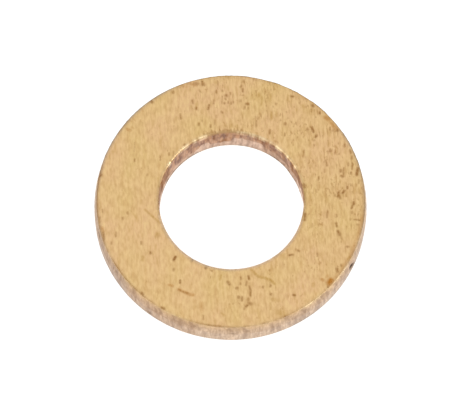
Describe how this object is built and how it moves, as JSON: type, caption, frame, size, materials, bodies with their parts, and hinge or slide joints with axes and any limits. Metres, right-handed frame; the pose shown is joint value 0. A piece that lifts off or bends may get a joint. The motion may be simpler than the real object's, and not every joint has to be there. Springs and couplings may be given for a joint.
{
  "type": "flat washer",
  "caption": "Thin round metal ring with a plain central hole, set under a bolt head or nut to spread its load.",
  "frame": {"origin": "centre of the bottom seating face, on the bore axis", "axes": "+Z along the bore axis, from the face that was blanked first towards the face that the bore was pierced from; X and Y are free, because the washer is round"},
  "size_m": [0.012, 0.012, 0.0016],
  "materials": {
    "brass": "mill-finish rolled brass, dulled by handling, with stamped edges"
  },
  "bodies": {
    "root": {"washer": "brass"}
  },
  "joints": []
}
